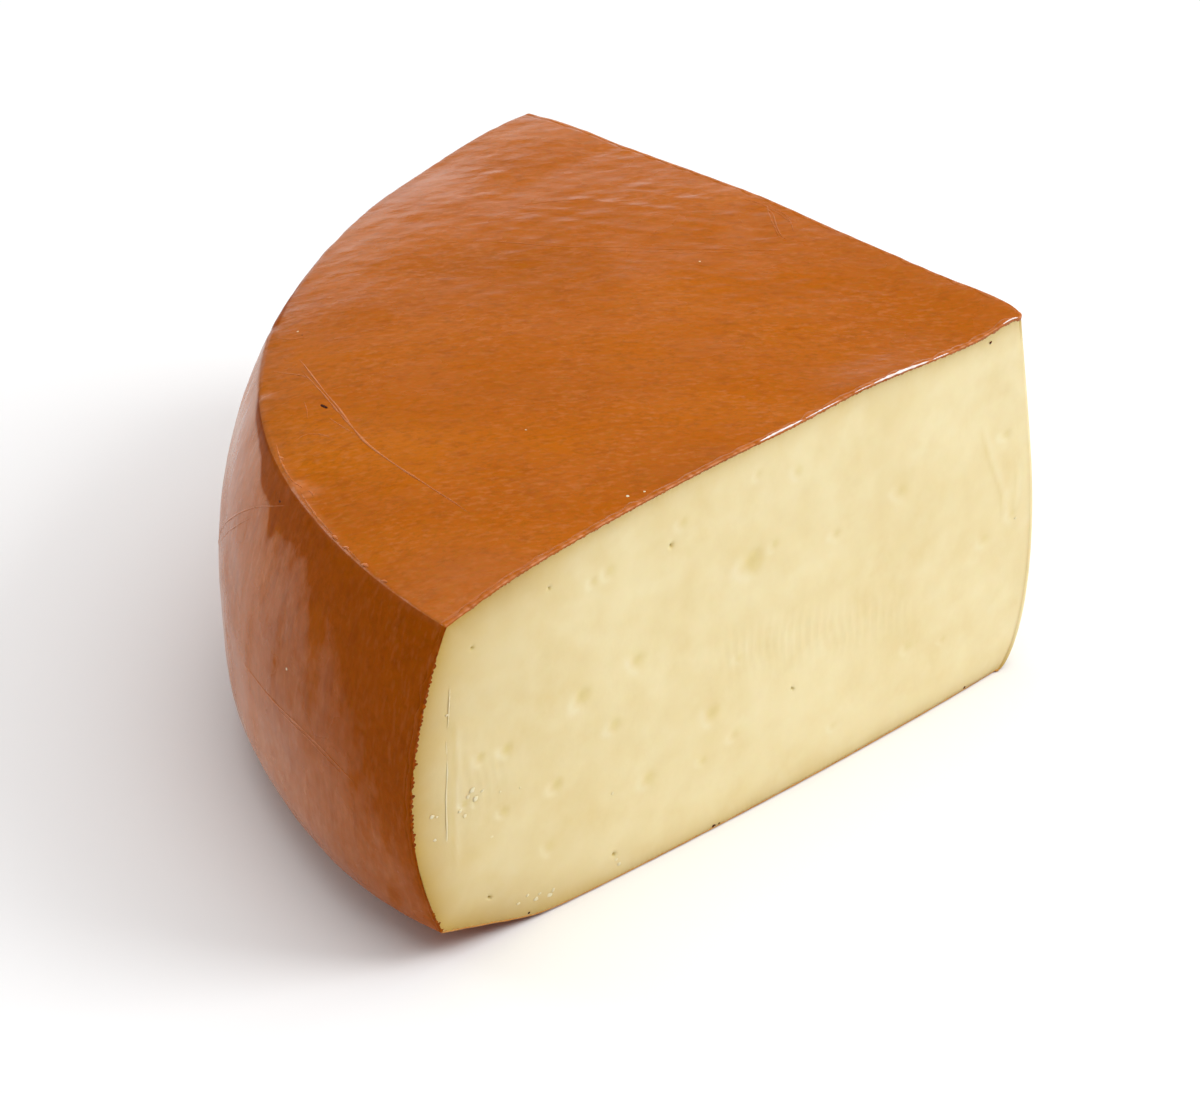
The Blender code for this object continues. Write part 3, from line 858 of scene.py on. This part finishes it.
# Width and height in millimetres, then points as distance from the axis and degrees from the near cut.
TOP_THREADS = (
    (0.42, 0.13, ((138.5, 40.3), (137, 38.6), (133.3, 33), (131.6, 29.4), (130.2, 24.8), (127.8, 20.3),
                  (125.7, 16.3), (124.2, 12.6), (123.5, 9.5))),
    (0.34, 0.11, ((137.9, 38.4), (134.6, 34.2), (132.7, 30.9), (131.1, 27.4), (129, 22.6))),
    (0.25, 0.06, ((134.4, 29.9), (133.1, 28.4), (131.3, 26.4))),
    (0.3, 0.08, ((144.1, 39.6), (141, 38.6), (138, 37.6), (136.3, 36.6))),
    (0.25, 0.06, ((138.1, 33.5), (137.9, 32), (138.2, 30.6))),
    (0.28, 0.07, ((141.3, 28.1), (139.5, 28.4), (137, 27.8), (135, 26.6))),
    (0.3, 0.08, ((119.7, 61.4), (107.8, 62.7), (95.2, 63.1), (83.5, 65), (71.9, 67.2), (60.9, 71.1),
                  (52.7, 75))),
    (0.3, 0.08, ((87, 63.2), (74, 65.4), (67.7, 67.2), (60.2, 70.2), (52.9, 72.9))),
    (0.32, 0.11, ((68, 88.2), (67, 87.3), (64.3, 86.1), (60.7, 83.2), (57, 80.2), (55.3, 79.6))),
    (0.3, 0.1, ((67.5, 87.6), (64.5, 85.4), (60.2, 82.2), (56.8, 79.2))),
    (0.28, 0.09, ((74.5, 87.4), (69.1, 87.8), (64, 87.2), (58.8, 85.8))),
    (0.26, 0.08, ((71, 88.8), (62.5, 87.6), (59.1, 86.6))),
    (0.26, 0.08, ((63, 88), (59.5, 86), (56.2, 83.2))),
    (0.28, 0.07, ((112, 72), (104, 75), (97, 77.5))),
    (0.28, 0.07, ((143.7, 44.9), (140.7, 44.1), (138, 44))),
)
# The same, but with points as degrees and height.
WALL_THREADS = (
    (0.46, 0.16, ((24, 32.5), (21.5, 33.3), (17.8, 34.1), (13.9, 35.2), (9.6, 35.3), (5.7, 33.9))),
    (0.34, 0.11, ((17.5, 33.5), (12, 34.5), (7.5, 33.7))),
    (0.4, 0.12, ((36.5, 38), (35.3, 42.5), (30.9, 52.9), (26.6, 61.4), (21.9, 68.1))),
    (0.3, 0.08, ((34.5, 42), (30, 52), (26.5, 59.5))),
    (0.3, 0.08, ((52, 20), (50, 30), (49, 41))),
    (0.32, 0.09, ((80, 30), (72, 33), (63, 34.5), (56, 33.5))),
)
RIM_LIPS = (
    (0.38, 0.09, ((145, 28.5), (145.3, 26), (145.3, 24), (145, 22))),
    (0.36, 0.09, ((144.9, 21.2), (144.9, 18), (144.8, 14.5))),
    (0.26, 0.06, ((144.8, 13), (144.7, 11.8), (144.6, 10.4))),
    (0.4, 0.12, ((145, 22.4), (144.7, 21.9), (144.3, 21.5))),
    (0.35, 0.1, ((143.6, 21), (143.2, 20.6), (143.3, 20.1))),
    (0.75, 0.22, ((145.1, 14.6), (144.9, 14.3), (144.8, 14))),
    (0.6, 0.2, ((145, 12.9), (144.7, 12.6), (144.7, 12.3))),
    (0.8, 0.24, ((144.9, 10.2), (144.6, 9.9), (144.5, 9.5))),
    (0.55, 0.16, ((144.7, 7.6), (144.5, 7.3), (144.4, 7))),
    (0.7, 0.2, ((145.3, 26.6), (145, 26.3), (145, 26))),
)


def on_top(radius, angle):
    turn = radians(angle)
    start = Vector(AXIS) + Vector((-radius * MM * cos(turn), radius * MM * sin(turn), 0.2))
    return skin.ray_cast(start, Vector((0, 0, -1)))[:2]


def on_wall(angle, height):
    turn = radians(angle)
    way = Vector((-cos(turn), sin(turn), 0))
    start = Vector(AXIS) + way * 0.25 + Vector((0, 0, height * MM))
    return skin.ray_cast(start, -way)[:2]


def soft_path(knots, count):
    """Points spread evenly along a smooth curve through the knots."""
    knots = np.array(knots, float)
    at = np.linspace(0, len(knots) - 1, count)
    i = np.minimum(at.astype(int), len(knots) - 2)
    t = (at - i)[:, None]
    slope = np.gradient(knots, axis=0)
    first = (1 - t) ** 2 * ((1 + 2 * t) * knots[i] + t * slope[i])
    return first + t * t * ((3 - 2 * t) * knots[i + 1] + (t - 1) * slope[i + 1])


def laid(find, knots, count):
    """Points of a soft path as they lie on the surface, and which way it faces there."""
    return (np.array(side) for side in zip(*(find(*knot) for knot in soft_path(knots, count))))


def thread(spots, facing, width, height, seed):
    """A thin closed strip that lies on the surface and tapers at both ends."""
    count = len(spots)
    side = unit(np.cross(np.gradient(spots, axis=0), facing))
    share = np.linspace(0, 1, count)
    size = np.sin(pi * share) ** 0.4 * (1 + 0.3 * ripple(share[:, None], 0.15, seed)) + 0.03
    rings = []
    for across, up in THREAD_SECTION:
        away = side * (across * width * size)[:, None] + facing * (up * height * size)[:, None]
        rings.append(spots + away * MM)
    points = np.stack(rings, 1).reshape(-1, 3)
    ids = np.arange(len(points)).reshape(count, len(rings))
    ring = np.concatenate([ids, ids[:, :1]], 1)
    return points, grid_faces(ring) + [ids[0].tolist(), ids[-1].tolist()]


def gather(parts):
    """Several sets of points and faces as one."""
    points, faces, start = [], [], 0
    for some_points, some_faces in parts:
        points.append(some_points)
        faces += [[corner + start for corner in face] for face in some_faces]
        start += len(some_points)
    return np.concatenate(points), faces


def build_threads():
    parts, pale = [], []
    kinds = ((on_top, TOP_THREADS, 0.45), (on_wall, WALL_THREADS, 0.4), (on_top, RIM_LIPS, 0.6))
    for find, threads, paleness in kinds:
        for width, height, knots in threads:
            spots, facing = laid(find, knots, 16 * len(knots))
            parts.append(thread(spots, facing, width, height, len(parts)))
            share = np.linspace(0, 1, len(spots))
            # Painted highlight: the threads and lips are paler along their length.
            fading = np.interp(share, (0, 0.12, 0.55, 1), (0.4, 1, 0.75, 0.15))
            uneven = np.clip(0.85 + 0.3 * ripple(share[:, None], 0.12, 90 + len(parts)), 0, 1)
            paler = paleness * min(1, height / 0.14) * fading * uneven
            pale += np.repeat(paler, len(THREAD_SECTION)).tolist()
    return new_piece("wax_threads", *gather(parts), {"pale": pale})


wax_threads = build_threads()
wax_threads.data.materials.append(wax_coat.data.materials[0])
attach(wax_threads, "root")


# The highlight slivers.
# Along the tip's half of the near cut, thin slivers stand up on the wax edge, painted white as a highlight.

# Width, then points as distance from the axis and height above the coat.
SLIVERS = (
    (0.34, ((69.8, 0.02), (65, 0.1), (59, 0.03))),
    (0.2, ((58.2, 0.02), (54, 0.06), (49.5, 0.02))),
    (0.15, ((45.6, 0.03), (43, 0.06), (41.2, 0.02))),
    (0.46, ((40.6, 0.02), (36, 0.14), (31, 0.16), (26, 0.03))),
    (0.22, ((25, 0.02), (23, 0.08), (20.8, 0.02))),
    (0.26, ((6.2, 0.04), (4, 0.1), (2, 0.04))),
)
SLIVER_STEPS = 60
SLIVER_HEIGHT = 0.08
SLIVER_OVERHANG = 0.03 * MM


def build_slivers():
    parts = []
    for width, knots in SLIVERS:
        radius, rise = soft_path(knots, SLIVER_STEPS).T * MM
        near_cut = 0 * radius
        spots = place(radius, top_height(radius, near_cut) + rise, near_cut)
        spots[:, 1] -= SLIVER_OVERHANG
        facing = np.tile([0.0, -0.6, 0.8], (SLIVER_STEPS, 1))
        parts.append(thread(spots, facing, width, SLIVER_HEIGHT, 80 + len(parts)))
    points, faces = gather(parts)
    # The slivers carry the painted white highlight.
    return new_piece("highlight_slivers", points, faces, {"white": np.ones(len(points))})


highlight_slivers = build_slivers()
highlight_slivers.data.materials.append(wax_coat.data.materials[0])
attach(highlight_slivers, "root")


# The crumbs.
# The knife left crumbs of paste on the near cut, and a few flecks of the same stuck to the wax. By the wall
# it also drew the paste up into a hair-thin line, with painted shade on one side and a painted highlight on
# the other.

# Distance from the axis, height and size, in millimetres.
CRUMBS_ON_CUT = (
    (148.9, 33, 0.7), (147.8, 32.5, 0.4), (135.3, 22.6, 0.6), (105.9, 4.1, 0.6), (105.2, 2.8, 0.5),
    (106.7, 19.3, 0.5), (127.3, 5.9, 0.5), (125.3, 4.2, 0.8), (124.4, 5, 0.5), (122.1, 3.6, 0.8),
    (121.2, 4.3, 0.5), (129.5, 5.1, 0.6), (142.5, 31.3, 0.7), (140.6, 33.6, 0.6), (139.6, 34.6, 0.8),
    (138.9, 32.5, 0.9), (137.4, 33.4, 0.5), (141.4, 29.8, 0.6), (145, 52.8, 0.4), (148.4, 27.8, 0.5),
    (133.2, 31.4, 0.4), (128.6, 30.2, 0.3), (8.4, 46.5, 0.5), (5.6, 34.9, 0.5),
)
# Distance from the axis, degrees and size on the top; degrees, height and size on the wall.
CRUMBS_ON_TOP = (
    (99.4, 1.9, 0.7), (96.3, 1.3, 0.5), (66.1, 64.1, 0.5), (139.7, 45.3, 0.55), (102.4, 19.4, 0.5),
)
CRUMBS_ON_WALL = ((15.7, 43.9, 0.7), (44, 28, 0.5), (70, 55, 0.5))
CRUMB_SPREAD = 1.5
CRUMB_FLATNESS = 0.13
CRUMB_RINGS, CRUMB_SECTORS = 6, 9
CHALKY = -0.4
DRAWN_UP = (
    (0.36, 0.025, ((145.4, 18), (145.7, 24.4), (145.6, 28.7), (145.6, 35.2), (145.2, 41.4), (145.3, 47.7))),
    (0.26, 0.02, ((144.9, 50), (144.5, 54), (144.2, 58))),
)
DRAWN_UP_STEPS = 90
# Painted shade and highlight across the drawn-up line, one tint per point of its section.
DRAWN_UP_SHADING = [0.30, 0.15, -0.3, -0.5, -0.4, 0.1]


def on_near_cut(along, height):
    spot = place(np.array(along * MM), np.array(height * MM), np.array(0.0))
    return Vector(spot), Vector((0, -1, 0))


def crumb(centre, facing, size, seed):
    """A small lump, flattened on the surface that it sticks to."""
    draw = np.random.default_rng(seed)
    down = np.linspace(0, pi, CRUMB_RINGS + 1)[1:-1, None]
    around = np.linspace(0, 2 * pi, CRUMB_SECTORS + 1)[None, :-1]
    out = np.sin(down)
    ball = np.stack([out * np.cos(around), out * np.sin(around), np.cos(down) + 0 * around], -1)
    ball = np.concatenate([ball.reshape(-1, 3), [[0, 0, 1], [0, 0, -1]]])
    ball *= 1 + 0.25 * ripple(ball, 1.4, seed)[:, None]
    axes = np.array(facing.to_track_quat("Z", "Y").to_matrix())
    sizes = size * MM * np.array([1, draw.uniform(0.5, 0.9), CRUMB_FLATNESS]) / 2
    spin = draw.uniform(0, pi)
    c, s = cos(spin), sin(spin)
    turned = ball @ np.array([[c, s, 0], [-s, c, 0], [0, 0, 1]])
    points = (turned * sizes) @ axes.T + np.array(centre)
    ids = np.arange(len(points) - 2).reshape(-1, CRUMB_SECTORS)
    ids = np.concatenate([ids, ids[:, :1]], 1)
    top, bottom = len(points) - 2, len(points) - 1
    fans = [[top, int(ids[0, i]), int(ids[0, i + 1])] for i in range(CRUMB_SECTORS)]
    fans += [[bottom, int(ids[-1, i + 1]), int(ids[-1, i])] for i in range(CRUMB_SECTORS)]
    return points, grid_faces(ids) + fans


def strewn(find, table, seed, spread=1):
    """A crumb at each place in the table."""
    return [crumb(*find(a, b), size * spread, seed + i) for i, (a, b, size) in enumerate(table)]


def build_crumbs():
    parts = strewn(on_near_cut, CRUMBS_ON_CUT, 0, CRUMB_SPREAD)
    parts += strewn(on_top, CRUMBS_ON_TOP, 40) + strewn(on_wall, CRUMBS_ON_WALL, 55)
    tint = [CHALKY] * sum(len(points) for points, _ in parts)
    for width, height, knots in DRAWN_UP:
        parts.append(thread(*laid(on_near_cut, knots, DRAWN_UP_STEPS), width, height, 95))
        tint += DRAWN_UP_SHADING * DRAWN_UP_STEPS
    points, faces = gather(parts)
    return new_piece("crumbs", points, faces, {"near_rind": np.zeros(len(points)), "tint": tint})


crumbs = build_crumbs()
crumbs.data.materials.append(paste.data.materials[0])
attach(crumbs, "root")


# The dark specks.
# A long burst bubble near the rim is a dark strip, painted shade for its hole. A few bits of old rind in
# the coat and at the edge of the near cut have gone nearly black.

BUBBLE = (0.72, 0.05, ((135.2, 32.3), (134.9, 32), (134.5, 31.7), (134.2, 31.4)))
DARK_ON_TOP = ((138.6, 44.5, 0.4),)
DARK_ON_WALL = ((22.9, 67.6, 0.8), (30, 30, 0.5), (61, 22, 0.7))
DARK_ON_CUT_EDGE = ((81.3, 0.5, 1), (79.9, 0.4, 0.6), (12.3, 0.6, 0.8), (127, 1.9, 0.7), (9.6, 77.7, 0.7))


def build_dark_specks():
    parts = strewn(on_top, DARK_ON_TOP, 60) + strewn(on_wall, DARK_ON_WALL, 70)
    parts += strewn(on_near_cut, DARK_ON_CUT_EDGE, 75)
    width, height, knots = BUBBLE
    # Painted shade: the burst bubble is a dark strip standing for its hole.
    parts.append(thread(*laid(on_top, knots, 24), width, height, 79))
    return new_piece("dark_specks", *gather(parts))


def dark_look():
    look = Look("dark_wax_and_hole_shade")
    brown = look.tones(900, (52, 18, 4), (92, 40, 9), 0.1)
    look.join(brown, look.shader.inputs["Base Color"])
    look.join(look.spread(look.noise(600), 0.45, 0.7), look.shader.inputs["Roughness"])
    look.set(Specular_IOR_Level=0.1)
    return look.material


dark_specks = build_dark_specks()
dark_specks.data.materials.append(dark_look())
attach(dark_specks, "root")


# The floor, the light and the camera.
# A plain pale floor, a soft key light from the right, a soft light overhead, a white card low behind and a
# fill light from behind on the left. The camera looks down at the near cut, as the photo's did.

FLOOR_REACH = 8.0
FLOOR_GAP = 0.0002
# Name, place, what it is aimed at, width, depth and power in watts.
LIGHTS = (
    ("key", (0.9, -1.0, 1.1), (0, 0, 0.04), 0.8, 0.8, 14),
    ("overhead", (0.2, -0.2, 1.5), (0, 0, 0), 2.0, 2.0, 22),
    ("white_card", (1.4, 1.55, 0.33), (0, 0, 0.05), 2.2, 0.6, 5.2),
    ("fill", (-0.7, 1.4, 0.75), (0, 0, 0.04), 0.9, 0.9, 7.5),
)
CAMERA_ELEVATION = 30.97
CAMERA_AZIMUTH = -42.05
CAMERA_FROM_AXIS = (-0.5356, -0.4730, 0.4550)
LENS = 125.72
SENSOR_WIDTH = 36
ROOM_LIGHT = 0.18


def add_floor():
    mesh = bpy.data.meshes.new("floor")
    r = FLOOR_REACH
    mesh.from_pydata([(-r, -r, 0), (r, -r, 0), (r, r, 0), (-r, r, 0)], [], [(0, 1, 2, 3)])
    floor = put_in_scene("floor", mesh)
    look = Look("floor")
    look.set(Base_Color=(0.93, 0.93, 0.93, 1), Roughness=0.9, Specular_IOR_Level=0.1)
    mesh.materials.append(look.material)
    floor.location.z = cad_box[0][2] - FLOOR_GAP


def add_soft_light(name, spot, aim, width, depth, power):
    light = bpy.data.lights.new(name, "AREA")
    light.shape = "RECTANGLE"
    light.size, light.size_y, light.energy = width, depth, power
    lamp = put_in_scene(name, light)
    lamp.location = spot
    lamp.rotation_euler = (Vector(aim) - Vector(spot)).to_track_quat("-Z", "Y").to_euler()


def add_camera():
    elevation, azimuth = radians(CAMERA_ELEVATION), radians(CAMERA_AZIMUTH)
    flat = cos(elevation)
    back = Vector((sin(azimuth) * flat, -cos(azimuth) * flat, sin(elevation)))
    right = Vector((cos(azimuth), sin(azimuth), 0))
    pose = Matrix((right, back.cross(right), back)).transposed().to_4x4()
    pose.translation = Vector(AXIS) + Vector(CAMERA_FROM_AXIS)
    camera = bpy.data.cameras.new("camera")
    camera.lens, camera.sensor_width, camera.clip_start = LENS, SENSOR_WIDTH, 0.01
    holder = put_in_scene("camera", camera)
    holder.matrix_world = pose
    bpy.context.scene.camera = holder


add_floor()
for light in LIGHTS:
    add_soft_light(*light)
add_camera()

world = bpy.data.worlds.new("studio")
world.use_nodes = True
background = world.node_tree.nodes["Background"]
background.inputs["Color"].default_value = (1, 1, 1, 1)
background.inputs["Strength"].default_value = ROOM_LIGHT
bpy.context.scene.world = world
bpy.context.scene.view_settings.view_transform = "Standard"
bpy.context.scene.view_settings.look = "None"
